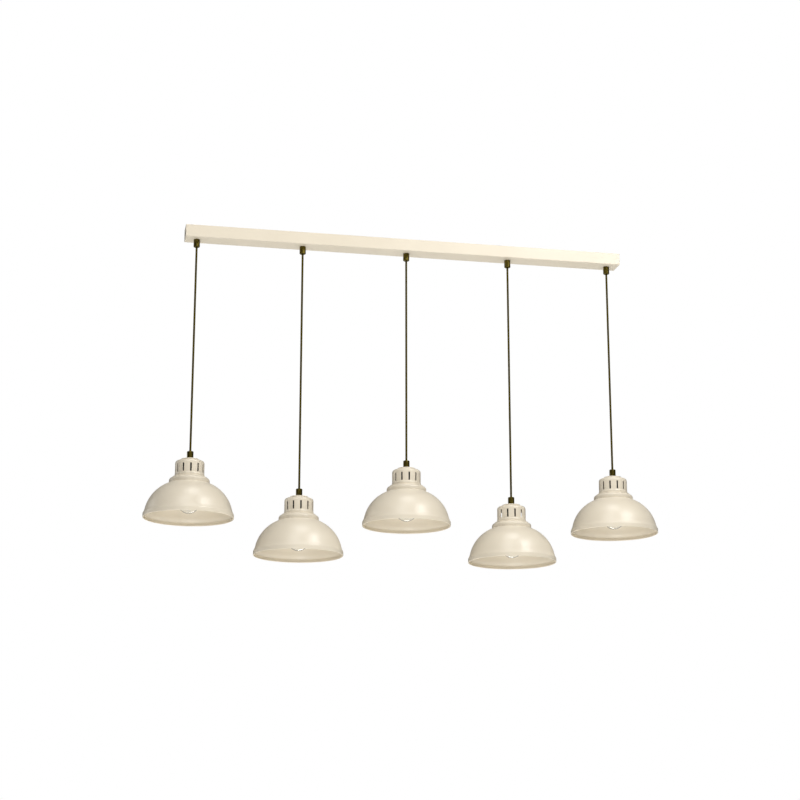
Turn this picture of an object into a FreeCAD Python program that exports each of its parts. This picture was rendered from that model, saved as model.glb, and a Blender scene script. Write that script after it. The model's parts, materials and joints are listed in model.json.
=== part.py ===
import FreeCAD, Part
import math
import os

# A linear island pendant: five stepped dome shades on cords under one ceiling bar.
# Millimetres. The origin is the middle of the face that meets the ceiling. +X runs along the bar,
# +Z points up into the ceiling, and the front of the bar faces -Y.

Vector = FreeCAD.Vector
UP = Vector(0, 0, 1)

# ---- Canopy bar, a folded sheet channel, open towards the ceiling ----
bar_overhang = 31.0
bar_width = 53.0
bar_height = 32.0
bar_wall = 1.2
bar_edge_radius = 1.6

# ---- Ceiling strip that holds the bar ----
strip_width = 36.0
strip_thickness = 1.5
strip_bend_radius = 1.5
strip_end_gap = 0.5
ear_height = 22.0
slot_width = 6.0
slot_length = 18.0
outer_slot_spacing = 1040.0
inner_slot_spacing = 400.0
entry_hole_radius = 11.0
entry_hole_x = 60.0

# ---- Screws ----
screw_radius = 2.0
screw_clearance = 0.05
screw_hole_play = 0.2
canopy_screw_drop = 15.0
canopy_screw_length = 8.0
canopy_screw_head_radius = 3.5
canopy_screw_head_height = 1.6
screw_slot_width = 0.8
screw_slot_depth = 0.7

# ---- Pendants ----
pendant_count = 5
pendant_spacing = 280.0
high_cord_length = 548.2
low_cord_length = 633.9
cord_radius = 2.75
cord_clearance = 0.3
flex_length = 12.0
flex_drop = 1.0

# ---- Cord grips ----
grip_radius = 8.25
grip_length = 20.4
grip_edge_radius = 1.8
grip_mouth_flare = 0.7
grip_foot_chamfer = 0.5
stem_radius = 5.0
stem_length = 8.0
thread_clearance = 0.05
nut_across_flats = 14.0
nut_thickness = 3.0
grip_screw_radius = 1.5
grip_screw_drop = 12.5
grip_screw_inset = 0.3

# ---- Neck cup ----
sheet_wall = 1.0
neck_height = 46.9
neck_radius = 37.0
neck_shoulder_radius = 7.0
boss_radius = 23.5
boss_height = 5.0
boss_edge_radius = 2.0
neck_lip_radius = 37.9
neck_lip_height = 5.0
neck_lip_slope = 3.0
neck_slot_count = 12
neck_slot_width = 4.0
neck_slot_top = 15.8
neck_slot_length = 21.4

# ---- Dome shade, measured down from its flat top ----
collar_step_radius = 44.3
collar_step_edge = 2.2
collar_step_height = 3.2
collar_ledge = 0.4
collar_edge_radius = 6.5
collar_height = 16.6
dome_to_flare = 4.4
dome_height = 65.6
dome_curve_radius = 93.6
flare_to_rim = 0.8
flare_height = 11.6
flare_curve_radius = 38.8
rim_radius = 114.3
rim_turn_height = 3.7
rim_turn_radius = 6.5
rim_bead_radius = 1.2
rim_band_height = 7.6

# ---- Lamp socket, measured down from the underside of the neck cup's top ----
socket_height = 60.6
socket_cap_radius = 17.5
socket_cap_edge = 3.0
socket_cap_height = 20.0
socket_top_thickness = 5.0
skirt_radius = 19.8
socket_flange_radius = 23.5
socket_flange_thickness = 2.0
socket_well_radius = 14.6
socket_well_depth = 32.0
socket_floor_thickness = 3.0
shade_hole_play = 0.2

# ---- Shade ring ----
ring_flange_radius = 28.0
ring_flange_thickness = 2.0
ring_skirt_radius = 23.0
ring_height = 10.0
ring_notch_count = 12
ring_notch_width = 4.0
ring_notch_depth = 2.0

# ---- Socket contacts ----
contact_shell_wall = 0.8
contact_shell_gap = 0.05
contact_shell_height = 22.0
contact_base_radius = 8.0
contact_tongue_radius = 3.5
contact_tongue_height = 3.7

# ---- Bulb ----
bulb_seat_gap = 0.3
cap_radius = 13.2
cap_wall = 0.6
cap_length = 26.5
cap_tip_radius = 4.5
cap_tip_height = 1.2
cap_cone_height = 5.5
cap_shoulder_height = 1.5
glass_wall = 0.8
glass_radius = 30.0
glass_length = 106.0
glass_neck_radius = 13.4
glass_neck_curve_radius = 45.0
glass_root_length = 10.0
glass_root_gap = 0.2

# ---- Terminal block on the strip ----
block_x = 105.0
block_length = 20.0
block_height = 14.0
block_y = -5.0
pole_count = 3
pole_pitch = 8.0
pole_margin = 0.5
pole_entry_depth = 6.0
pole_screw_depth = 4.0
pole_screw_length = 2.5
pole_screw_inset = 5.0
block_edge_radius = 0.8
pole_groove_width = 1.0
pole_groove_depth = 2.5
block_peg_radius = 1.9
earth_screw_x = 150.0
earth_screw_y = 8.0
earth_screw_head_radius = 4.0
earth_screw_head_height = 2.6

# ---- Leads inside the bar: how each rises from its grip (along the bar, share of the lane, height) ----
lead_rise = ((0, 0, 12.5), (12, 0.25, 24), (36, 0.8, 21), (62, 1, 9), (92, 1, 0))
lead_lane_pitch = 6.4
lead_drift = (0, -0.6, -0.2, -0.7, -0.3)
lead_station_pitch = 70.0
lead_least_run = 20.0
lead_climb_start = 60.0
lead_climb_end = 28.0

# ---- Places that follow from the sizes above ----
bar_length = (pendant_count - 1) * pendant_spacing + 2 * bar_overhang
bar_floor_z = -bar_height + bar_wall
grip_mouth_z = -bar_height - grip_length
upper_pivot_z = grip_mouth_z - flex_drop
lower_pivot_z = upper_pivot_z - flex_length
grip_bore_radius = cord_radius + cord_clearance
strip_underside_z = -strip_thickness
entry_z = strip_underside_z - block_height / 2
lead_start_z = upper_pivot_z + cord_radius + cord_clearance
lead_lane_start = nut_across_flats / math.sqrt(3) + cord_clearance + cord_radius
socket_floor_depth = socket_height - socket_well_depth
cord_end_depth = sheet_wall + socket_floor_depth - socket_floor_thickness


class Outline:
    """Straight runs and arcs in the XZ plane, x being the distance from the axis."""

    def __init__(self, x, z):
        self.here = Vector(x, 0, z)
        self.edges = []

    def line(self, x, z):
        there = Vector(x, 0, z)
        self.edges.append(Part.LineSegment(self.here, there).toShape())
        self.here = there
        return self

    def arc(self, x, z, radius):
        """An arc of less than half a turn; it turns right for a positive radius, left for a negative."""
        there = Vector(x, 0, z)
        chord = there - self.here
        left = Vector(-chord.z, 0, chord.x).normalize()
        size = abs(radius)
        rise = size - math.sqrt(size**2 - chord.Length**2 / 4)
        middle = (self.here + there) / 2 + left * math.copysign(rise, radius)
        self.edges.append(Part.Arc(self.here, middle, there).toShape())
        self.here = there
        return self

    def wire(self):
        return Part.Wire(self.edges)

    def closed_face(self):
        start = self.edges[0].Vertexes[0].Point
        if (start - self.here).Length > 1e-9:
            self.line(start.x, start.z)
        return Part.Face(self.wire())

    def sheet_face(self, wall):
        """The area between this line and its offset by the wall, on the right of the line."""
        return self.wire().makeOffset2D(-wall, 0, True, True, False)


def turned(face):
    return face.revolve(Vector(0, 0, 0), UP, 360)


def cylinder(radius, bottom_z, top_z, x=0.0, y=0.0):
    return Part.makeCylinder(radius, top_z - bottom_z, Vector(x, y, bottom_z), UP)


def box(x_range, y_range, z_range):
    size = [high - low for low, high in (x_range, y_range, z_range)]
    return Part.makeBox(*size, Vector(x_range[0], y_range[0], z_range[0]))


def moved(shape, x=0.0, y=0.0, z=0.0):
    return shape.translated(Vector(x, y, z))


def around_axis(shape, count, index):
    turn = shape.copy()
    turn.rotate(Vector(0, 0, 0), UP, 360.0 * index / count)
    return turn


def pendant_x(number):
    return (number - (pendant_count + 1) / 2) * pendant_spacing


def is_high(number):
    return number % 2 == 1


def neck_top_z(number):
    """The height of the neck cup's flat top, where the lower cord grip stands."""
    cord_length = high_cord_length if is_high(number) else low_cord_length
    return grip_mouth_z - cord_length - grip_length


# ---------------------------------------------------------------- canopy


def canopy_bar():
    half_length = bar_length / 2
    half_width = bar_width / 2
    outside = box((-half_length, half_length), (-half_width, half_width), (-bar_height, 0))
    rounded = [
        edge
        for edge in outside.Edges
        if all(vertex.Z < -bar_height / 2 for vertex in edge.Vertexes)
        or abs(edge.Vertexes[0].Z - edge.Vertexes[-1].Z) > bar_height / 2
    ]
    outside = outside.makeFillet(bar_edge_radius, rounded)
    inside = box(
        (-half_length + bar_wall, half_length - bar_wall),
        (-half_width + bar_wall, half_width - bar_wall),
        (bar_floor_z, 1),
    )
    bar = outside.cut(inside)
    for number in range(1, pendant_count + 1):
        hole = cylinder(stem_radius + screw_hole_play, -bar_height - 1, bar_floor_z + 1, pendant_x(number))
        bar = bar.cut(hole)
    for side in (-1, 1):
        start = Vector(side * (half_length - bar_wall - 1), 0, -canopy_screw_drop)
        hole = Part.makeCylinder(
            screw_radius + screw_hole_play, bar_wall + 2, start, Vector(side, 0, 0)
        )
        bar = bar.cut(hole)
    return bar


def strip_end_x():
    return bar_length / 2 - bar_wall - strip_end_gap


def ceiling_slot(x):
    half_run = (slot_length - slot_width) / 2
    depth = (strip_underside_z - 1, 1)
    middle = box((x - half_run, x + half_run), (-slot_width / 2, slot_width / 2), depth)
    ends = [cylinder(slot_width / 2, *depth, x + side * half_run) for side in (-1, 1)]
    return middle.fuse(ends)


def ceiling_strip():
    """A flat strip against the ceiling whose two ends are folded down as ears."""
    end = strip_end_x()
    outer_bend = strip_bend_radius + strip_thickness
    top = Outline(-end, -ear_height)
    top.line(-end, -outer_bend).arc(-end + outer_bend, 0, outer_bend)
    top.line(end - outer_bend, 0).arc(end, -outer_bend, outer_bend).line(end, -ear_height)
    face = top.sheet_face(strip_thickness)
    strip = moved(face, y=-strip_width / 2).extrude(Vector(0, strip_width, 0))
    for spacing in (outer_slot_spacing, inner_slot_spacing):
        for side in (-1, 1):
            strip = strip.cut(ceiling_slot(side * spacing / 2))
    through = (strip_underside_z - 1, 1)
    strip = strip.cut(cylinder(entry_hole_radius, *through, entry_hole_x))
    strip = strip.cut(cylinder(screw_radius + screw_clearance, *through, earth_screw_x, earth_screw_y))
    for y in block_peg_places():
        strip = strip.cut(cylinder(block_peg_radius + screw_clearance, *through, block_x, y))
    for side in (-1, 1):
        start = Vector(side * (end - strip_thickness - 1), 0, -canopy_screw_drop)
        ear_hole = Part.makeCylinder(
            screw_radius + screw_clearance, strip_thickness + 2, start, Vector(side, 0, 0)
        )
        strip = strip.cut(ear_hole)
    return strip


def slotted_screw(head_radius, head_height, length):
    """A screw along Z: its head stands on z = 0 and its shank points down."""
    dome = (head_radius**2 + head_height**2) / (2 * head_height)
    profile = Outline(0, head_height).arc(head_radius, 0, dome)
    profile.line(screw_radius, 0).line(screw_radius, -length).line(0, -length)
    slot = box(
        (-head_radius, head_radius),
        (-screw_slot_width / 2, screw_slot_width / 2),
        (head_height - screw_slot_depth, head_height + 1),
    )
    return turned(profile.closed_face()).cut(slot)


def canopy_screws():
    screws = []
    for side in (-1, 1):
        screw = slotted_screw(canopy_screw_head_radius, canopy_screw_head_height, canopy_screw_length)
        screw.rotate(Vector(0, 0, 0), Vector(0, 1, 0), side * 90)
        screws.append(moved(screw, side * bar_length / 2, 0, -canopy_screw_drop))
    return Part.makeCompound(screws)


# ---------------------------------------------------------------- cord grips


def cord_grip():
    """A cord grip along Z: its body hangs below z = 0 and its threaded stem stands above."""
    foot = grip_radius - grip_foot_chamfer
    profile = Outline(grip_bore_radius, stem_length)
    profile.line(stem_radius, stem_length).line(stem_radius, 0).line(foot, 0)
    profile.line(grip_radius, -grip_foot_chamfer).line(grip_radius, -grip_length + grip_edge_radius)
    profile.arc(grip_radius - grip_edge_radius, -grip_length, grip_edge_radius)
    profile.line(grip_bore_radius + grip_mouth_flare, -grip_length)
    profile.line(grip_bore_radius, -grip_length + grip_mouth_flare)
    return turned(profile.closed_face())


def upper_grips():
    back = Vector(0, 1, 0)
    hole = Part.makeCylinder(
        grip_screw_radius + screw_clearance, grip_radius, Vector(0, 0, -grip_screw_drop), back
    )
    grip = cord_grip().cut(hole)
    return Part.makeCompound(
        [moved(grip, pendant_x(n), z=-bar_height) for n in range(1, pendant_count + 1)]
    )


def grip_screws():
    """Headless screws in the backs of the upper grips; their tips press on the cords."""
    length = grip_radius - grip_screw_inset - cord_radius
    start = Vector(0, cord_radius, -bar_height - grip_screw_drop)
    screw = Part.makeCylinder(grip_screw_radius, length, start, Vector(0, 1, 0))
    slot_bottom = grip_radius - grip_screw_inset - screw_slot_depth
    slot = box(
        (-grip_screw_radius, grip_screw_radius),
        (slot_bottom, grip_radius),
        (start.z - screw_slot_width / 2, start.z + screw_slot_width / 2),
    )
    screw = screw.cut(slot)
    return Part.makeCompound([moved(screw, pendant_x(n)) for n in range(1, pendant_count + 1)])


def grip_nuts():
    corner_radius = nut_across_flats / math.sqrt(3)
    turns = [math.radians(60 * k) for k in range(7)]
    corners = [Vector(corner_radius * math.cos(turn), corner_radius * math.sin(turn), 0) for turn in turns]
    nut = Part.Face(Part.makePolygon(corners)).extrude(Vector(0, 0, nut_thickness))
    nut = nut.cut(cylinder(stem_radius + thread_clearance, -1, nut_thickness + 1))
    return Part.makeCompound(
        [moved(nut, pendant_x(n), z=bar_floor_z) for n in range(1, pendant_count + 1)]
    )


# ---------------------------------------------------------------- wiring in the bar


def pole_places():
    first = block_y - (pole_count - 1) * pole_pitch / 2
    return [first + k * pole_pitch for k in range(pole_count)]


def block_peg_places():
    poles = pole_places()
    return [(a + b) / 2 for a, b in zip(poles, poles[1:])]


def pole_screw_places():
    reach = block_length / 2 - pole_screw_inset
    return [(block_x + side * reach, y) for y in pole_places() for side in (-1, 1)]


def terminal_block():
    half_length = block_length / 2
    half_width = pole_count * pole_pitch / 2 + pole_margin
    bottom_z = strip_underside_z - block_height
    block = box(
        (block_x - half_length, block_x + half_length),
        (block_y - half_width, block_y + half_width),
        (bottom_z, strip_underside_z),
    )
    block = block.makeFillet(block_edge_radius, [e for e in block.Edges if e.CenterOfMass.z < entry_z])
    for y in block_peg_places():
        groove = box(
            (block_x - half_length - 1, block_x + half_length + 1),
            (y - pole_groove_width / 2, y + pole_groove_width / 2),
            (bottom_z - 1, bottom_z + pole_groove_depth),
        )
        block = block.cut(groove)
        block = block.fuse(cylinder(block_peg_radius, strip_underside_z - 1, 0, block_x, y))
    for y in pole_places():
        for side in (-1, 1):
            start = Vector(block_x + side * (half_length - pole_entry_depth), y, entry_z)
            entry = Part.makeCylinder(grip_bore_radius, pole_entry_depth + 1, start, Vector(side, 0, 0))
            block = block.cut(entry)
    for x, y in pole_screw_places():
        hole = cylinder(screw_radius + screw_hole_play, bottom_z - 1, bottom_z + pole_screw_depth, x, y)
        block = block.cut(hole)
    return block


def terminal_screws():
    """Headless screws that stand on the floors of the block's screw holes."""
    top_z = strip_underside_z - block_height + pole_screw_depth
    bottom_z = top_z - pole_screw_length
    screw = cylinder(screw_radius, bottom_z, top_z)
    slot = box(
        (-screw_radius, screw_radius),
        (-screw_slot_width / 2, screw_slot_width / 2),
        (bottom_z - 1, bottom_z + screw_slot_depth),
    )
    screw = screw.cut(slot)
    return Part.makeCompound([moved(screw, x, y) for x, y in pole_screw_places()])


def earth_screw():
    screw = slotted_screw(earth_screw_head_radius, earth_screw_head_height, strip_thickness)
    screw.rotate(Vector(0, 0, 0), Vector(1, 0, 0), 180)
    return moved(screw, earth_screw_x, earth_screw_y, strip_underside_z)


def cord_path(points):
    """Straight runs joined by tangent arcs, each as large as its two runs allow, and the least radius."""
    corners = [Vector(*point) for point in points]
    here = corners[0]
    edges = []
    radii = []
    for before, corner, after in zip(corners, corners[1:], corners[2:]):
        back = before - corner
        on = after - corner
        half_turn = (math.pi - back.getAngle(on)) / 2
        reach = 0.45 * min(back.Length, on.Length)
        radius = reach / math.tan(half_turn)
        radii.append(radius)
        start = corner + back.normalize() * reach
        end = corner + on.normalize() * reach
        inward = (back + on).normalize()
        middle = corner + inward * (radius / math.cos(half_turn) - radius)
        edges.append(Part.LineSegment(here, start).toShape())
        edges.append(Part.Arc(start, middle, end).toShape())
        here = end
    edges.append(Part.LineSegment(here, corners[-1]).toShape())
    return Part.Wire(edges), min(radii)


def lead_points(number):
    """A cord's tail: up through its grip, down to a lane on the bar's floor and into the block."""
    x = pendant_x(number)
    side = 1 if x < block_x else -1
    on_this_side = [n for n in range(1, pendant_count + 1) if (pendant_x(n) < block_x) == (side == 1)]
    rank = sorted(on_this_side, key=lambda n: abs(pendant_x(n) - block_x)).index(number)
    poles_outwards = pole_places()[::-1] if side == 1 else pole_places()[pole_count - 2 :: -1]
    pole_y = poles_outwards[rank]
    lane_y = -lead_lane_start - (rank - 1) * lead_lane_pitch if rank else pole_y
    lane_z = bar_floor_z + cord_radius + cord_clearance
    face_x = block_x - side * block_length / 2
    room = abs(face_x - x)
    is_long = room > 2 * lead_climb_start
    rise_end = room - (lead_climb_start if is_long else lead_climb_end) - lead_least_run
    rise = [place for place in lead_rise if place[0] < rise_end]
    points = [(x, 0, lead_start_z)]
    points += [(x + side * along, share * lane_y, lane_z + height) for along, share, height in rise]
    if is_long:
        climb_x = face_x - side * lead_climb_start
        low, high = sorted((points[-1][0], climb_x))
        first = math.ceil((low + lead_least_run) / lead_station_pitch)
        last = math.floor((high - lead_least_run) / lead_station_pitch)
        stations = range(first, last + 1)[::side]
        for k in stations:
            drift = lead_drift[k % len(lead_drift)]
            points.append((k * lead_station_pitch, lane_y + drift, lane_z))
        points.append((climb_x, lane_y, lane_z))
    points.append((face_x - side * lead_climb_end, pole_y, entry_z))
    points.append((face_x + side * pole_entry_depth, pole_y, entry_z))
    return points


def lead(number):
    path, least_radius = cord_path(lead_points(number))
    start = path.Edges[0].Vertexes[0].Point
    section = Part.Wire(Part.makeCircle(cord_radius, start, UP))
    tube = path.makePipeShell([section], True, False)
    expected = math.pi * cord_radius**2 * path.Length
    print("lead", number, "length", round(path.Length, 1), "least radius", round(least_radius, 1))
    print("lead", number, "volume over section times length", round(tube.Volume / expected, 4))
    return tube


# ---------------------------------------------------------------- one pendant


def cord_flex():
    """The short stretch of cord that bends under the upper grip, with a round end at each pivot."""
    profile = Outline(0, upper_pivot_z + cord_radius)
    profile.arc(cord_radius, upper_pivot_z, cord_radius)
    profile.line(cord_radius, lower_pivot_z)
    profile.arc(0, lower_pivot_z - cord_radius, cord_radius)
    return turned(profile.closed_face())


def cord(number):
    """The straight cord down to the socket's terminals; its top is dished to clear the bend's end."""
    ball_radius = cord_radius + cord_clearance
    dish_edge_z = lower_pivot_z - math.sqrt(ball_radius**2 - cord_radius**2)
    end_z = neck_top_z(number) - cord_end_depth
    straight = cylinder(cord_radius, end_z, dish_edge_z)
    return straight.cut(Part.makeSphere(ball_radius, Vector(0, 0, lower_pivot_z)))


def lower_grip():
    grip = cord_grip()
    grip.rotate(Vector(0, 0, 0), Vector(1, 0, 0), 180)
    return grip


def neck_cup():
    profile = Outline(stem_radius + screw_hole_play, 0)
    profile.line(boss_radius - boss_edge_radius, 0)
    profile.arc(boss_radius, -boss_edge_radius, boss_edge_radius)
    profile.line(boss_radius, -boss_height)
    profile.line(neck_radius - neck_shoulder_radius, -boss_height)
    profile.arc(neck_radius, -boss_height - neck_shoulder_radius, neck_shoulder_radius)
    profile.line(neck_radius, -neck_height + neck_lip_height + neck_lip_slope)
    profile.line(neck_lip_radius, -neck_height + neck_lip_height)
    profile.line(neck_lip_radius, -neck_height)
    cup = turned(profile.sheet_face(sheet_wall))
    slot = box(
        (-neck_slot_width / 2, neck_slot_width / 2),
        (-neck_lip_radius - 1, -neck_radius + sheet_wall + neck_slot_width),
        (-neck_slot_top - neck_slot_length, -neck_slot_top),
    )
    return cup.cut([around_axis(slot, neck_slot_count, k) for k in range(neck_slot_count)])


def shade():
    """The dome, its flat top at z = 0: stepped collar, dome, flared skirt and rolled rim."""
    collar_radius = collar_step_radius + collar_ledge + collar_edge_radius
    flare_end_radius = rim_radius - flare_to_rim
    dome_end_radius = flare_end_radius - dome_to_flare
    dome_end_z = -collar_height - dome_height
    flare_end_z = dome_end_z - flare_height
    rim_turn_z = flare_end_z - rim_turn_height
    rim_z = rim_turn_z - rim_band_height
    bead_z = rim_z + rim_bead_radius
    profile = Outline(skirt_radius + shade_hole_play, 0)
    profile.line(collar_step_radius - collar_step_edge, 0)
    profile.arc(collar_step_radius, -collar_step_edge, collar_step_edge)
    profile.line(collar_step_radius, -collar_step_height)
    profile.line(collar_radius - collar_edge_radius, -collar_step_height)
    profile.arc(collar_radius, -collar_step_height - collar_edge_radius, collar_edge_radius)
    profile.line(collar_radius, -collar_height)
    profile.arc(dome_end_radius, dome_end_z, dome_curve_radius)
    profile.arc(flare_end_radius, flare_end_z, -flare_curve_radius)
    profile.arc(rim_radius, rim_turn_z, rim_turn_radius)
    profile.line(rim_radius, bead_z)
    sheet = profile.sheet_face(sheet_wall)
    bead = Outline(rim_radius, bead_z)
    bead.arc(rim_radius - rim_bead_radius, rim_z, rim_bead_radius)
    bead.arc(rim_radius - 2 * rim_bead_radius, bead_z, rim_bead_radius)
    bead.line(rim_radius - sheet_wall, rim_turn_z)
    bead.line(rim_radius - sheet_wall / 2, rim_turn_z)
    bead.line(rim_radius - sheet_wall / 2, bead_z)
    section = sheet.fuse(bead.closed_face()).removeSplitter()
    return turned(section.Faces[0])


def lamp_socket():
    """The lamp socket, its top at z = 0."""
    collar_z = -(neck_height - sheet_wall)
    flange_top_z = collar_z + socket_flange_thickness
    profile = Outline(stem_radius + thread_clearance, 0)
    profile.line(socket_cap_radius - socket_cap_edge, 0)
    profile.arc(socket_cap_radius, -socket_cap_edge, socket_cap_edge)
    profile.line(socket_cap_radius, -socket_cap_height)
    profile.line(skirt_radius, -socket_cap_height - (skirt_radius - socket_cap_radius))
    profile.line(skirt_radius, flange_top_z).line(socket_flange_radius, flange_top_z)
    profile.line(socket_flange_radius, collar_z).line(skirt_radius, collar_z)
    profile.line(skirt_radius, -socket_height).line(socket_well_radius, -socket_height)
    profile.line(socket_well_radius, -socket_floor_depth).line(0, -socket_floor_depth)
    profile.line(0, -socket_floor_depth + socket_floor_thickness)
    profile.line(socket_well_radius, -socket_floor_depth + socket_floor_thickness)
    profile.line(socket_well_radius, -socket_top_thickness)
    profile.line(stem_radius + thread_clearance, -socket_top_thickness)
    return turned(profile.closed_face())


def shade_ring():
    """The threaded ring under the shade's collar, its top at z = 0."""
    bore = skirt_radius + thread_clearance
    profile = Outline(bore, 0).line(ring_flange_radius, 0)
    profile.line(ring_flange_radius, -ring_flange_thickness)
    profile.line(ring_skirt_radius, -ring_flange_thickness)
    profile.line(ring_skirt_radius, -ring_height).line(bore, -ring_height)
    ring = turned(profile.closed_face())
    notch = box(
        (-ring_notch_width / 2, ring_notch_width / 2),
        (ring_flange_radius - ring_notch_depth, ring_flange_radius + 1),
        (-ring_flange_thickness - 1, 1),
    )
    return ring.cut([around_axis(notch, ring_notch_count, k) for k in range(ring_notch_count)])


def socket_contacts():
    """The thread shell and the middle contact, standing on the socket's floor at z = 0."""
    outside = socket_well_radius - contact_shell_gap
    inside = outside - contact_shell_wall
    profile = Outline(contact_base_radius, 0).line(outside, 0).line(outside, -contact_shell_height)
    profile.line(inside, -contact_shell_height).line(inside, -contact_shell_wall)
    profile.line(contact_base_radius, -contact_shell_wall)
    shell = turned(profile.closed_face())
    tongue = cylinder(contact_tongue_radius, -contact_tongue_height, 0)
    return Part.makeCompound([shell, tongue])


def bulb_cap():
    """The bulb's cap, its contact tip at z = 0 and its open end downwards."""
    cone_z = -cap_tip_height - cap_cone_height
    body_z = cone_z - cap_shoulder_height
    profile = Outline(0, 0).line(cap_tip_radius, 0).line(cap_tip_radius, -cap_tip_height)
    profile.line(cap_radius - cap_shoulder_height, cone_z).line(cap_radius, body_z)
    profile.line(cap_radius, -cap_length).line(cap_radius - cap_wall, -cap_length)
    profile.line(cap_radius - cap_wall, body_z - cap_wall).line(0, body_z - cap_wall)
    return turned(profile.closed_face())


def bulb_glass():
    """The bulb's glass below the same tip: a neck, a hollow curve and a ball."""
    ball_z = -glass_length + glass_radius
    curve_x = glass_neck_radius + glass_neck_curve_radius
    centres_apart = glass_radius + glass_neck_curve_radius
    curve_z = ball_z + math.sqrt(centres_apart**2 - curve_x**2)
    join_x = curve_x * glass_radius / centres_apart
    join_z = ball_z + (curve_z - ball_z) * glass_radius / centres_apart
    root_radius = cap_radius - cap_wall - glass_root_gap
    profile = Outline(root_radius, -cap_length + glass_root_length)
    profile.line(root_radius, -cap_length)
    profile.line(glass_neck_radius, -cap_length - (glass_neck_radius - root_radius))
    profile.line(glass_neck_radius, curve_z)
    profile.arc(join_x, join_z, -glass_neck_curve_radius)
    profile.arc(glass_radius, ball_z, glass_radius)
    profile.arc(0, -glass_length, glass_radius)
    return turned(profile.sheet_face(glass_wall))


def pendant_pieces(number):
    neck_z = neck_top_z(number)
    collar_z = neck_z - neck_height
    socket_z = neck_z - sheet_wall
    floor_z = socket_z - socket_floor_depth
    tip_z = floor_z - contact_tongue_height - bulb_seat_gap
    placed = {
        "cord_flex": cord_flex(),
        "cord": cord(number),
        "lower_grip": moved(lower_grip(), z=neck_z),
        "neck_cup": moved(neck_cup(), z=neck_z),
        "shade": moved(shade(), z=collar_z),
        "lamp_socket": moved(lamp_socket(), z=socket_z),
        "shade_ring": moved(shade_ring(), z=collar_z - sheet_wall),
        "socket_contacts": moved(socket_contacts(), z=floor_z),
        "bulb_cap": moved(bulb_cap(), z=tip_z),
        "bulb_glass": moved(bulb_glass(), z=tip_z),
    }
    return {f"{name}_{number}": moved(shape, pendant_x(number)) for name, shape in placed.items()}


# ---------------------------------------------------------------- the whole part

nodes = {
    "canopy_bar": canopy_bar(),
    "ceiling_strip": ceiling_strip(),
    "canopy_screws": canopy_screws(),
    "upper_grips": upper_grips(),
    "grip_nuts": grip_nuts(),
    "grip_screws": grip_screws(),
    "terminal_block": terminal_block(),
    "terminal_screws": terminal_screws(),
    "earth_screw": earth_screw(),
    "inner_leads": Part.makeCompound([lead(n) for n in range(1, pendant_count + 1)]),
}
for pendant in range(1, pendant_count + 1):
    nodes.update(pendant_pieces(pendant))

os.makedirs("parts", exist_ok=True)
for name, shape in nodes.items():
    shape.exportStep(f"parts/{name}.step")
    print(name, shape.ShapeType, len(shape.Solids), "valid", shape.isValid(), round(shape.Volume))
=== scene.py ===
"""The looks of a linear island pendant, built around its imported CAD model. Metres, +Z up, front faces -Y."""

import json
import math

import bpy
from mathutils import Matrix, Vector


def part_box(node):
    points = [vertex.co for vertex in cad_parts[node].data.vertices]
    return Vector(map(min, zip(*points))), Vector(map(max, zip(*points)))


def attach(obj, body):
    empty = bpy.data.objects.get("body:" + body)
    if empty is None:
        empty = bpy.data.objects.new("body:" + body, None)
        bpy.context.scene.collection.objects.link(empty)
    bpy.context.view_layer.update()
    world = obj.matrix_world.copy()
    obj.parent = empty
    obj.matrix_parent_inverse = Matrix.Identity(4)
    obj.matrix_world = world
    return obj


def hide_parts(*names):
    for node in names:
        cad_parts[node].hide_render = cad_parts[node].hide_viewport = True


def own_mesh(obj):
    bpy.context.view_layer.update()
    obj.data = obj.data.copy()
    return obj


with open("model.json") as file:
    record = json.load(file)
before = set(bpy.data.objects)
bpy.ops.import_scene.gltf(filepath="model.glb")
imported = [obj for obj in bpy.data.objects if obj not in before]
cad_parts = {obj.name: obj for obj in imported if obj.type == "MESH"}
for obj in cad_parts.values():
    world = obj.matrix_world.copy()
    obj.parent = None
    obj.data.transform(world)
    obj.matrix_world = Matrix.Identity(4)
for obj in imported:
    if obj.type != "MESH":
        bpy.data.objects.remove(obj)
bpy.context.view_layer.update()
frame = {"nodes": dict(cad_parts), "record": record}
nodes = frame["nodes"]

pendants = sorted(int(name.rsplit("_", 1)[1]) for name in nodes if name.startswith("bulb_glass_"))

# ---- The photographer's place ----
camera_place = (-0.883, -4.2953, -1.5704)
camera_yaw = math.radians(11.40)
camera_pitch = math.radians(14.49)
camera_lens = 77.66


# ---------------------------------------------------------------- shader graphs


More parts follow.
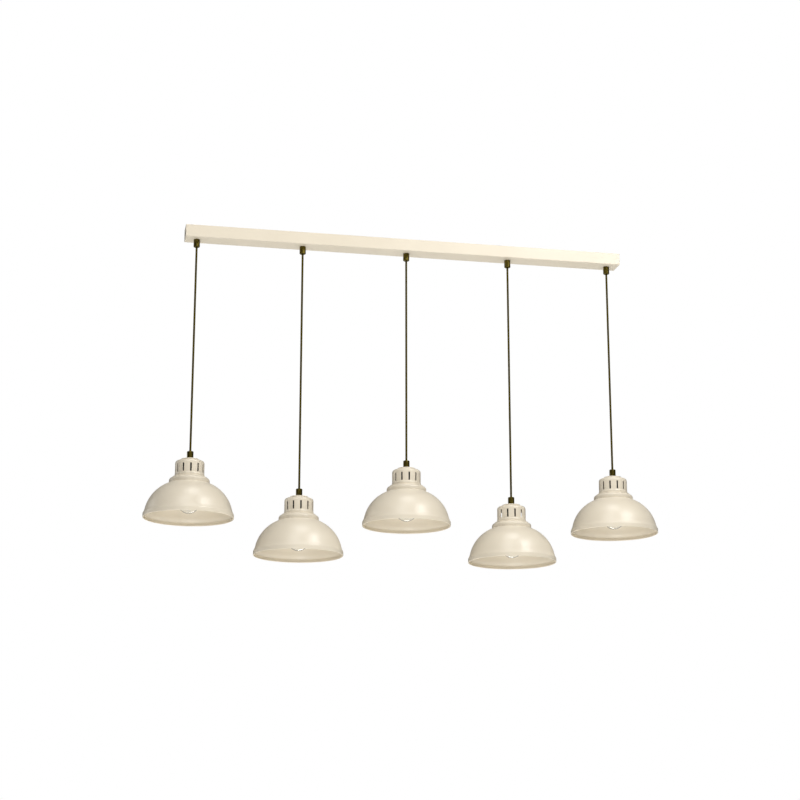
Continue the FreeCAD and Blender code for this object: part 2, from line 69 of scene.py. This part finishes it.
class Graph:
    """A material whose principled shader gets constants by name and other nodes by link."""

    def __init__(self, name, **constants):
        self.material = bpy.data.materials.new(name)
        self.material.use_nodes = True
        self.tree = self.material.node_tree
        self.shader = self.tree.nodes["Principled BSDF"]
        for key, value in constants.items():
            self.shader.inputs[key.replace("_", " ")].default_value = value

    def node(self, kind, inputs=None, **settings):
        made = self.tree.nodes.new("ShaderNode" + kind)
        for key, value in settings.items():
            setattr(made, key, value)
        for key, value in (inputs or {}).items():
            self.feed(made.inputs[key], value)
        return made

    def feed(self, socket, value):
        if isinstance(value, bpy.types.NodeSocket):
            self.tree.links.new(value, socket)
        else:
            socket.default_value = value

    def shade(self, **links):
        for key, value in links.items():
            self.feed(self.shader.inputs[key.replace("_", " ")], value)
        return self.material

    def place(self):
        """The point on the part, in metres, the same at every pose."""
        return self.node("TexCoord").outputs["Object"]

    def noise(self, scale, detail=2.0, roughness=0.5, vector=None):
        inputs = {"Scale": scale, "Detail": detail, "Roughness": roughness, "Vector": vector or self.place()}
        return self.node("TexNoise", inputs).outputs["Fac"]

    def stretched(self, across, along):
        """The place with its Z scaled apart from X and Y, for marks that run along or round the part."""
        mapping = self.node("Mapping", {"Vector": self.place(), "Scale": (across, across, along)})
        return mapping.outputs["Vector"]

    def ramp(self, value, *stops):
        ramp = self.node("ValToRGB", {"Fac": value})
        elements = ramp.color_ramp.elements
        while len(elements) < len(stops):
            elements.new(0.5)
        for element, (position, colour) in zip(elements, stops):
            element.position = position
            element.color = (*colour, 1.0)
        return ramp.outputs["Color"]

    def range(self, value, low, high):
        inputs = {"Value": value, "From Min": 0.3, "From Max": 0.7, "To Min": low, "To Max": high}
        return self.node("MapRange", inputs).outputs["Result"]

    def maths(self, operation, *values):
        made = self.node("Math", operation=operation)
        for socket, value in zip(made.inputs, values):
            self.feed(socket, value)
        return made.outputs[0]

    def bump(self, height, depth, strength=1.0, normal=None):
        inputs = {"Height": height, "Distance": depth, "Strength": strength}
        if normal is not None:
            inputs["Normal"] = normal
        return self.node("Bump", inputs).outputs["Normal"]


def cream_paint():
    """Satin powder coat with a faint orange peel and slight drifts of tone and gloss."""
    g = Graph("cream_paint", Specular_IOR_Level=0.65)
    tone = g.ramp(g.noise(9.0, 3.0), (0.35, (0.800, 0.722, 0.585)), (0.65, (0.824, 0.748, 0.612)))
    peel = g.bump(g.noise(700.0, 1.0), 0.00006)
    drift = g.bump(g.noise(55.0, 2.0), 0.0002, 0.3, peel)
    return g.shade(Base_Color=tone, Roughness=g.range(g.noise(40.0, 3.0), 0.31, 0.37), Normal=drift)


def bronze():
    """Dark antique bronze: gold brown where it is rubbed, nearly black in the patina."""
    g = Graph("bronze", Metallic=1.0)
    patina = g.noise(260.0, 4.0, 0.6, g.stretched(1.0, 0.25))
    dark, worn, rubbed = (0.050, 0.037, 0.006), (0.112, 0.086, 0.016), (0.22, 0.175, 0.040)
    tone = g.ramp(patina, (0.30, dark), (0.52, worn), (0.75, rubbed))
    grain = g.bump(g.noise(2400.0, 2.0, 0.5, g.stretched(1.0, 0.12)), 0.00003)
    return g.shade(Base_Color=tone, Roughness=g.range(patina, 0.42, 0.30), Normal=grain)


def zinc_steel():
    g = Graph("zinc_steel", Metallic=1.0)
    spangle = g.node("TexVoronoi", {"Vector": g.place(), "Scale": 320.0}).outputs["Color"]
    tone = g.ramp(spangle, (0.0, (0.50, 0.51, 0.52)), (1.0, (0.66, 0.67, 0.68)))
    scratches = g.bump(g.noise(1800.0, 3.0, 0.6, g.stretched(1.0, 6.0)), 0.00002)
    return g.shade(Base_Color=tone, Roughness=g.range(g.noise(120.0, 3.0), 0.32, 0.50), Normal=scratches)


def moulded_plastic(name, dark, light, roughness):
    """Moulded plastic with a fine spark-eroded grain."""
    g = Graph(name, Specular_IOR_Level=0.5)
    tone = g.ramp(g.noise(70.0, 3.0), (0.3, dark), (0.7, light))
    grain = g.bump(g.noise(3200.0, 2.0), 0.00004)
    gloss = g.range(g.noise(300.0), roughness - 0.05, roughness + 0.05)
    return g.shade(Base_Color=tone, Roughness=gloss, Normal=grain)


def bright_metal(name, dark, light, roughness):
    """Rolled sheet metal with a fine grain round the part and slight tarnish."""
    g = Graph(name, Metallic=1.0)
    tone = g.ramp(g.noise(180.0, 4.0, 0.6), (0.3, dark), (0.7, light))
    grain = g.bump(g.noise(1500.0, 2.0, 0.5, g.stretched(0.3, 3.0)), 0.00002)
    gloss = g.range(g.noise(400.0), roughness - 0.06, roughness + 0.08)
    return g.shade(Base_Color=tone, Roughness=gloss, Normal=grain)


def clear_glass():
    """Thin blown glass with a barely uneven surface."""
    tint = (0.98, 0.99, 0.99, 1.0)
    g = Graph("clear_glass", Base_Color=tint, IOR=1.46, Transmission_Weight=1.0, Roughness=0.0)
    return g.shade(Normal=g.bump(g.noise(60.0, 1.0), 0.0001, 0.25))


def textile():
    """Braided yarn: strands of two families and the fine filaments that run along each. Its brown is painted
    shade in the gaps between strands and a painted highlight on their crowns, with a slight random drift of
    tone.
    """
    g = Graph("cord_textile", Specular_IOR_Level=0.04, Specular_Tint=(1.0, 0.86, 0.5, 1.0))
    uv = g.node("SeparateXYZ", {"Vector": g.node("UVMap").outputs["UV"]})
    turn, length = uv.outputs["X"], uv.outputs["Y"]
    climb = g.maths("DIVIDE", length, braid_pitch)
    first = g.maths("MULTIPLY", g.maths("ADD", turn, climb), float(braid_strands))
    second = g.maths("MULTIPLY", g.maths("SUBTRACT", turn, climb), float(braid_strands))
    cells = g.maths("ADD", g.maths("FLOOR", first), g.maths("FLOOR", second))
    other_on_top = g.maths("MODULO", g.maths("ABSOLUTE", cells), 2.0)
    across_first = g.maths("MULTIPLY", g.maths("SUBTRACT", 1.0, other_on_top), g.maths("FRACT", first))
    across = g.maths("ADD", across_first, g.maths("MULTIPLY", other_on_top, g.maths("FRACT", second)))
    yarn = g.maths("PINGPONG", g.maths("MULTIPLY", across, 5.0), 0.5)
    crown = g.maths("SINE", g.maths("MULTIPLY", across, math.pi))
    height = g.maths("ADD", g.maths("MULTIPLY", crown, 0.8), g.maths("MULTIPLY", yarn, 0.5))
    # Relief height scaled by a random drift of tone; the colour painted from it is shade in the gaps and a
    # highlight on the crowns.
    painted_light_and_tone = g.maths("MULTIPLY", height, g.range(g.noise(900.0, 2.0), 0.6, 1.0))
    # Painted shade in the gaps between strands and filaments, the yarn's own brown at its sides, a painted
    # highlight on its crowns.
    gap_painted_shade, yarn_side, crown_painted_highlight = (0.016, 0.012, 0.001), (0.060, 0.046, 0.005), (0.125, 0.098, 0.016)
    tone = g.ramp(painted_light_and_tone, (0.05, gap_painted_shade), (0.55, yarn_side), (1.0, crown_painted_highlight))
    return g.shade(Base_Color=tone, Roughness=g.range(painted_light_and_tone, 0.70, 0.50), Normal=g.bump(height, 0.00012))


# ---- The cords' braid ----
braid_strands = 8
braid_pitch = 0.013
braid_relief = 0.00022

materials = {
    "cream_paint": cream_paint(),
    "bronze": bronze(),
    "zinc_steel": zinc_steel(),
    "black_plastic": moulded_plastic("black_plastic", (0.012, 0.012, 0.013), (0.022, 0.022, 0.024), 0.42),
    "block_plastic": moulded_plastic("block_plastic", (0.66, 0.66, 0.61), (0.74, 0.74, 0.70), 0.40),
    "contact_brass": bright_metal("contact_brass", (0.62, 0.42, 0.15), (0.78, 0.57, 0.24), 0.28),
    "cap_metal": bright_metal("cap_metal", (0.62, 0.61, 0.60), (0.78, 0.78, 0.77), 0.25),
    "clear_glass": clear_glass(),
    "cord_textile": textile(),
    "black_glass": moulded_plastic("black_glass", (0.004, 0.004, 0.005), (0.010, 0.010, 0.012), 0.15),
    "tungsten": bright_metal("tungsten", (0.20, 0.20, 0.21), (0.30, 0.30, 0.31), 0.35),
}
slot_of = {row["node"]: row["material_slot"] for row in frame["record"]["subparts"]}


def dress_cad_nodes():
    """Every CAD node gets its slot's material and smooth round faces."""
    for name, piece in nodes.items():
        piece.data.materials.clear()
        piece.data.materials.append(materials[slot_of[name]])
        piece.data.shade_smooth()
        piece.data.set_sharp_from_angle(angle=math.radians(30))


# ---------------------------------------------------------------- mesh pieces


def piece_of(name, points, faces, slot, body, look=None, uvs=None, replaces=(), sharp=35.0):
    """A smooth mesh piece, riding on its body. uvs holds one pair for each corner of each face."""
    mesh = bpy.data.meshes.new(name)
    mesh.from_pydata(points, [], faces)
    if uvs:
        layer = mesh.uv_layers.new(name="UVMap")
        layer.data.foreach_set("uv", [number for pair in uvs for number in pair])
    mesh.materials.append(materials[look or slot])
    mesh.shade_smooth()
    mesh.set_sharp_from_angle(angle=math.radians(sharp))
    piece = bpy.data.objects.new(name, mesh)
    bpy.context.scene.collection.objects.link(piece)
    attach(piece, body)
    if replaces:
        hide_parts(*replaces)
    return piece


def rings(grid):
    """Faces that join rows of points, each row a closed ring, with one flat face on each end."""
    count = len(grid[0])
    points = [point for ring in grid for point in ring]
    faces = []
    for row in range(len(grid) - 1):
        for k in range(count):
            a, b = row * count + k, row * count + (k + 1) % count
            faces.append((a, b, b + count, a + count))
    faces.append(tuple(range(count))[::-1])
    faces.append(tuple(range(len(points) - count, len(points))))
    return points, faces


def along(points, step):
    """Even places on a line of points."""
    lengths = [0.0]
    for a, b in zip(points, points[1:]):
        lengths.append(lengths[-1] + (b - a).length)
    count = max(2, round(lengths[-1] / step) + 1)
    places = []
    segment = 0
    for k in range(count):
        want = lengths[-1] * k / (count - 1)
        while segment < len(points) - 2 and lengths[segment + 1] < want:
            segment += 1
        span = lengths[segment + 1] - lengths[segment]
        places.append(points[segment].lerp(points[segment + 1], (want - lengths[segment]) / span))
    return places


def sweep(points, sides, radius):
    """Rings of points round a line; radius is a function of the turn, from 0 to 1, and the length so far."""
    grid = []
    across = None
    length = 0.0
    for k, place in enumerate(points):
        ahead = (points[min(k + 1, len(points) - 1)] - points[max(k - 1, 0)]).normalized()
        if across is None:
            across = ahead.orthogonal().normalized()
        across = (across - ahead * across.dot(ahead)).normalized()
        other = ahead.cross(across)
        if k:
            length += (place - points[k - 1]).length
        ring = []
        for side in range(sides):
            turn = side / sides
            angle = 2 * math.pi * turn
            out = across * math.cos(angle) + other * math.sin(angle)
            ring.append(place + out * radius(turn, length))
        grid.append(ring)
    return grid


def braid_height(turn, length):
    """The relief of two families of strands that pass over and under each other, from 0 to 1."""
    first = braid_strands * (turn + length / braid_pitch)
    second = braid_strands * (turn - length / braid_pitch)
    if (math.floor(first) + math.floor(second)) % 2:
        first, second = second, first
    across = math.sin(math.pi * (first % 1.0))
    ridge = math.sin(math.pi * (second % 1.0))
    return math.sqrt(across) * (0.45 + 0.55 * ridge)


def braided(name, line, body, replaces=(), sides=32, step=0.0005, round_ends=False):
    """A braided cord along a line, with its turn and its length as the UV map. Returns it and its line."""
    points = along(line, step)
    whole = sum((b - a).length for a, b in zip(points, points[1:]))

    def radius(turn, length):
        size = cord_radius - braid_relief * (1.0 - braid_height(turn, length))
        end = min(length, whole - length)
        if round_ends and end < cord_radius:
            size *= math.sqrt(max(0.02, 1.0 - (1.0 - end / cord_radius) ** 2))
        return size

    vertices, faces = rings(sweep(points, sides, radius))
    rise = whole / (len(points) - 1)
    uvs = []
    for face in faces[:-2]:
        row, k = divmod(face[0], sides)
        left, right = k / sides, (k + 1) / sides
        low, high = row * rise, (row + 1) * rise
        uvs += [(left, low), (right, low), (right, high), (left, high)]
    uvs += [(0.0, 0.0)] * (2 * sides)
    piece = piece_of(name, vertices, faces, "cord_textile", body, uvs=uvs, replaces=replaces, sharp=80.0)
    return piece, points


def lathe(name, profile, x, slot, body, sides=64, **rest):
    """A solid turned about the pendant's axis at x, from pairs of radius and height."""
    grid = []
    for radius, z in profile:
        turns = [2 * math.pi * k / sides for k in range(sides)]
        grid.append([Vector((x + radius * math.cos(t), radius * math.sin(t), z)) for t in turns])
    points, faces = rings(grid)
    return piece_of(name, points, faces, slot, body, **rest)


def wire(name, line, radius, slot, body, sides=8, **rest):
    points, faces = rings(sweep(line, sides, lambda turn, length: radius))
    return piece_of(name, points, faces, slot, body, **rest)


# ---------------------------------------------------------------- cords

cord_radius = (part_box("cord_1")[1].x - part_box("cord_1")[0].x) / 2


def axis_of(number):
    low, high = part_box(f"bulb_glass_{number}")
    return (low.x + high.x) / 2


def hanging_cord(number):
    """The cord's bend, and the cord from its bend to the socket, which gets a mesh of its own."""
    x = axis_of(number)
    bend_low, bend_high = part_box(f"cord_flex_{number}")
    bend_line = [Vector((x, 0.0, bend_high.z)), Vector((x, 0.0, bend_low.z))]
    bend, _ = braided(
        f"cord_bend_{number}", bend_line, f"cord_bend_{number}", [f"cord_flex_{number}"], round_ends=True
    )
    low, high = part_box(f"cord_{number}")
    top = Vector((x, 0.0, high.z))
    cord, line = braided(
        f"hanging_cord_{number}", [top, Vector((x, 0.0, low.z))], f"cord_drop_{number}", [f"cord_{number}"]
    )
    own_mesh(cord)


# The leads' routes inside the bar, each from its cord grip to the terminal block.
lead_routes = {
    1: (
        (-0.56, 0.0, -0.05035), (-0.56, 0.0, -0.031), (-0.56, 0.0, -0.01525),
        (-0.548, -0.00438, -0.00375), (-0.524, -0.01403, -0.00675),
        (-0.498, -0.01753, -0.01875), (-0.468, -0.01753, -0.02775), (-0.42, -0.01783, -0.02775),
        (-0.35, -0.01753, -0.02775), (-0.28, -0.01813, -0.02775), (-0.21, -0.01773, -0.02775),
        (-0.14, -0.01823, -0.02775), (-0.07, -0.01783, -0.02775), (0.0, -0.01753, -0.02775),
        (0.035, -0.01753, -0.02775), (0.067, -0.013, -0.0085), (0.101, -0.013, -0.0085),
    ),
    2: (
        (-0.28, 0.0, -0.05035), (-0.28, 0.0, -0.031), (-0.28, 0.0, -0.01525),
        (-0.268, -0.00278, -0.00375), (-0.244, -0.00891, -0.00675),
        (-0.218, -0.01113, -0.01875), (-0.188, -0.01113, -0.02775), (-0.14, -0.01183, -0.02775),
        (-0.07, -0.01143, -0.02775), (0.0, -0.01113, -0.02775), (0.035, -0.01113, -0.02775),
        (0.067, -0.005, -0.0085), (0.101, -0.005, -0.0085),
    ),
    3: (
        (0.0, 0.0, -0.05035), (0.0, 0.0, -0.031), (0.0, 0.0, -0.01525),
        (0.012, 0.00075, -0.00375), (0.036, 0.0024, -0.00675),
        (0.067, 0.003, -0.0085), (0.101, 0.003, -0.0085),
    ),
    4: (
        (0.28, 0.0, -0.05035), (0.28, 0.0, -0.031), (0.28, 0.0, -0.01525),
        (0.268, -0.00125, -0.00375), (0.244, -0.004, -0.00675), (0.218, -0.005, -0.01875),
        (0.175, -0.005, -0.02775), (0.143, -0.005, -0.0085), (0.109, -0.005, -0.0085),
    ),
    5: (
        (0.56, 0.0, -0.05035), (0.56, 0.0, -0.031), (0.56, 0.0, -0.01525),
        (0.548, -0.00278, -0.00375), (0.524, -0.00891, -0.00675),
        (0.498, -0.01113, -0.01875), (0.468, -0.01113, -0.02775), (0.42, -0.01173, -0.02775),
        (0.35, -0.01113, -0.02775), (0.28, -0.01143, -0.02775), (0.21, -0.01183, -0.02775),
        (0.175, -0.01113, -0.02775), (0.143, -0.013, -0.0085), (0.109, -0.013, -0.0085),
    ),
}


def smooth_line(points):
    """The points of one smooth spline whose control points are these."""
    curve = bpy.data.curves.new("route", "CURVE")
    curve.dimensions = "3D"
    curve.resolution_u = 16
    spline = curve.splines.new("NURBS")
    spline.points.add(len(points) - 1)
    for point, place in zip(spline.points, points):
        point.co = (*place, 1.0)
    spline.order_u = 3
    spline.use_endpoint_u = True
    route = bpy.data.objects.new("route", curve)
    bpy.context.scene.collection.objects.link(route)
    mesh = bpy.data.meshes.new_from_object(route)
    line = [vertex.co.copy() for vertex in mesh.vertices]
    bpy.data.objects.remove(route)
    bpy.data.curves.remove(curve)
    bpy.data.meshes.remove(mesh)
    return line


def inner_lead(number):
    """The cord's tail inside the bar, from its grip to the terminal block."""
    route = smooth_line(lead_routes[number])
    lead, line = braided(f"inner_lead_{number}", route, "canopy", ["inner_leads"], sides=20, step=0.0008)


# ---------------------------------------------------------------- bulbs

thread_pitch = 0.00363
thread_depth = 0.0010
thread_runout = 0.002
cap_shoulder_depth = 0.0082
cap_neck_radius = 0.0117
cap_neck_rise = 0.0015
cap_plain_lip = 0.0035
cap_sides = 64
cap_rows = 60
# Pairs of radius and depth below the cap's tip.
insulator_profile = ((0.0117, 0.0067), (0.0104, 0.0055), (0.0058, 0.0014), (0.0050, 0.0012))
solder_profile = ((0.0046, 0.0013), (0.0045, 0.0008), (0.0036, 0.0002), (0.0012, 0.0))
stem_profile = (
    (0.0112, 0.0290), (0.0095, 0.0300), (0.0055, 0.0330), (0.0036, 0.0370), (0.0033, 0.0500),
    (0.0036, 0.0530), (0.0030, 0.0570), (0.0014, 0.0595), (0.0012, 0.0660), (0.0019, 0.0672),
    (0.0021, 0.0682), (0.0012, 0.0692),
)
lead_wire_depth = 0.0560
support_wire_depth = 0.0682
support_wire_places = (10.0, 90.0, 170.0)
lead_wire_radius = 0.00035
support_wire_radius = 0.00018
# The filament's ring, in metres and degrees, and its coil.
ring_depth = 0.0700
ring_radius = 0.0125
ring_start, ring_end = -70.0, 250.0
ring_sag = 0.0022
coil_steps = 760
coil_turns = 95
coil_radius = 0.00038
filament_radius = 0.00011


def below(tip, profile):
    """A profile's pairs of radius and depth as pairs of radius and height."""
    return [(radius, tip - depth) for radius, depth in profile]


def ring_points(x, z, radius_at, sides):
    """A ring about a pendant's axis; radius_at is a function of the turn, from 0 to 1."""
    ring = []
    for side in range(sides):
        turn = side / sides
        angle = 2 * math.pi * turn
        radius = radius_at(turn)
        ring.append(Vector((x + radius * math.cos(angle), radius * math.sin(angle), z)))
    return ring


def bulb_cap(number):
    """The threaded cap, its black glass insulator and the solder tip."""
    x = axis_of(number)
    body = f"bulb_{number}"
    low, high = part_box(f"bulb_cap_{number}")
    tip, lip = high.z, low.z
    crest = (high.x - low.x) / 2
    shoulder = tip - cap_shoulder_depth
    thread_end = lip + cap_plain_lip
    grid = [ring_points(x, shoulder + cap_neck_rise, lambda turn: cap_neck_radius, cap_sides)]
    for row in range(cap_rows + 1):
        z = shoulder + (lip - shoulder) * row / cap_rows
        fade = max(0.0, min(1.0, (z - thread_end) / thread_runout, (shoulder - z) / (thread_runout / 2)))

        def radius_at(turn):
            wave = 0.5 - 0.5 * math.cos(2 * math.pi * ((z - lip) / thread_pitch + turn))
            return crest - thread_depth * wave * fade

        grid.append(ring_points(x, z, radius_at, cap_sides))
    points, faces = rings(grid)
    thread = piece_of(f"bulb_thread_{number}", points, faces, "cap_metal", body)
    insulator = below(tip, insulator_profile)
    lathe(f"bulb_insulator_{number}", insulator, x, "black_plastic", body, look="black_glass")
    lathe(f"bulb_contact_{number}", below(tip, solder_profile), x, "cap_metal", body)
    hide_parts(f"bulb_cap_{number}")


def bulb_inside(number):
    """The glass stem, its wires and the coiled filament."""
    x = axis_of(number)
    body = f"bulb_{number}"
    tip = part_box(f"bulb_cap_{number}")[1].z
    lathe(f"bulb_stem_{number}", below(tip, stem_profile), x, "clear_glass", body, sides=32)

    def on_ring(degrees, lift=0.0):
        angle = math.radians(degrees)
        out = Vector((math.cos(angle), math.sin(angle), 0.0)) * ring_radius
        return out + Vector((x, 0.0, tip - ring_depth + lift))

    for word, degrees, start in (("left", ring_end, -0.0022), ("right", ring_start, 0.0022)):
        end = on_ring(degrees)
        root = Vector((x + start, 0.0, tip - lead_wire_depth))
        knee = root.lerp(end, 0.35) + Vector((start, 0.0, -0.004))
        line = [root, knee, end.lerp(knee, 0.05), end]
        wire(f"lead_wire_{word}_{number}", line, lead_wire_radius, "cap_metal", body)
    for k, degrees in enumerate(support_wire_places):
        root = Vector((x, 0.0, tip - support_wire_depth))
        line = [root, on_ring(degrees)]
        wire(f"support_wire_{k + 1}_{number}", line, support_wire_radius, "cap_metal", body, sides=6)
    line = []
    for k in range(coil_steps + 1):
        share = k / coil_steps
        sag = ring_sag * math.sin(math.pi * (4 * share % 1.0))
        centre = on_ring(ring_start + (ring_end - ring_start) * share, -sag)
        out = (centre - Vector((x, 0.0, centre.z))).normalized()
        spin = 2 * math.pi * coil_turns * share
        line.append(centre + (out * math.cos(spin) + Vector((0, 0, 1)) * math.sin(spin)) * coil_radius)
    wire(f"filament_{number}", line, filament_radius, "cap_metal", body, sides=4, look="tungsten")


# ---------------------------------------------------------------- the studio


def floor_paint():
    """A pale matt floor with a barely seen drift of tone."""
    g = Graph("floor")
    tone = g.ramp(g.noise(1.5, 3.0), (0.3, (0.90, 0.90, 0.89)), (0.7, (0.882, 0.882, 0.8722)))
    return g.shade(Base_Color=tone, Roughness=0.7)


light_centre = Vector((0.0, 0.0, -0.45))
world_colour = (1.0, 0.99, 0.97, 1.0)
world_strength = 0.12
backdrop_colour = (1.0, 1.0, 1.0, 1.0)
light_colour = (1.0, 0.99, 0.97)
# Name, azimuth from the front towards the right and elevation in degrees, distance, size and watts.
studio_lights = (
    ("key", 35.0, 38.0, 3.4, 1.4, 51.0),
    ("near_right", 25.0, 17.6, 3.47, 1.2, 8.0),
    ("front_left_top", -24.0, 40.0, 5.0, 2.4, 51.0),
    ("right_top", 60.0, 45.0, 5.0, 2.4, 14.0),
    ("overhead", 0.0, 75.0, 5.0, 2.4, 72.0),
    ("camera_fill", -20.0, -8.0, 4.8, 2.0, 26.0),
    ("low_front", -20.0, -46.0, 4.8, 1.8, 33.0),
    ("below", 0.0, -81.3, 3.95, 2.4, 24.0),
    ("rear_left", -120.0, 15.0, 5.0, 2.4, 20.0),
    ("low_rear", 166.0, -38.0, 5.0, 1.7, 22.0),
)
floor_height = -4.6
floor_half = 8.5
wash_height = -1.7
wash_size = 24.0
wash_watts = 940.0


def add_light(name, place, aim, size, watts):
    """A soft round light, which the camera doesn't see."""
    lamp = bpy.data.objects.new(name, bpy.data.lights.new(name, "AREA"))
    lamp.data.shape = "DISK"
    lamp.data.size = size
    lamp.data.energy = watts
    lamp.data.color = light_colour
    lamp.location = place
    lamp.rotation_euler = (aim - place).to_track_quat("-Z", "Y").to_euler()
    lamp.visible_camera = False
    bpy.context.scene.collection.objects.link(lamp)


def studio():
    scene = bpy.context.scene
    scene.view_settings.view_transform = "Standard"

    camera = bpy.data.objects.new("camera", bpy.data.cameras.new("camera"))
    camera.data.lens = camera_lens
    camera.data.sensor_width = 36.0
    camera.data.clip_end = 60.0
    camera.location = camera_place
    camera.rotation_euler = (math.pi / 2 + camera_pitch, 0.0, -camera_yaw)
    scene.collection.objects.link(camera)
    scene.camera = camera

    world = bpy.data.worlds.new("studio")
    world.use_nodes = True
    tree = world.node_tree
    fill = tree.nodes["Background"]
    fill.inputs["Color"].default_value = world_colour
    fill.inputs["Strength"].default_value = world_strength
    backdrop = tree.nodes.new("ShaderNodeBackground")
    backdrop.inputs["Color"].default_value = backdrop_colour
    seen = tree.nodes.new("ShaderNodeLightPath")
    mix = tree.nodes.new("ShaderNodeMixShader")
    tree.links.new(seen.outputs["Is Camera Ray"], mix.inputs["Fac"])
    tree.links.new(fill.outputs[0], mix.inputs[1])
    tree.links.new(backdrop.outputs[0], mix.inputs[2])
    tree.links.new(mix.outputs[0], tree.nodes["World Output"].inputs["Surface"])
    scene.world = world

    for name, azimuth, elevation, distance, size, watts in studio_lights:
        around, up = math.radians(azimuth), math.radians(elevation)
        toward = Vector((math.sin(around) * math.cos(up), -math.cos(around) * math.cos(up), math.sin(up)))
        add_light(name, light_centre + toward * distance, light_centre, size, watts)
    wash_place, wash_aim = Vector((0.0, 0.0, wash_height)), Vector((0.0, 0.0, floor_height))
    add_light("floor_wash", wash_place, wash_aim, wash_size, wash_watts)

    mesh = bpy.data.meshes.new("floor")
    signs = ((-1, -1), (1, -1), (1, 1), (-1, 1))
    corners = [(x * floor_half, y * floor_half, floor_height) for x, y in signs]
    mesh.from_pydata(corners, [], [(0, 1, 2, 3)])
    mesh.materials.append(floor_paint())
    floor = bpy.data.objects.new("floor", mesh)
    scene.collection.objects.link(floor)


dress_cad_nodes()
for pendant in pendants:
    hanging_cord(pendant)
    inner_lead(pendant)
    bulb_cap(pendant)
    bulb_inside(pendant)
studio()
bpy.context.view_layer.update()
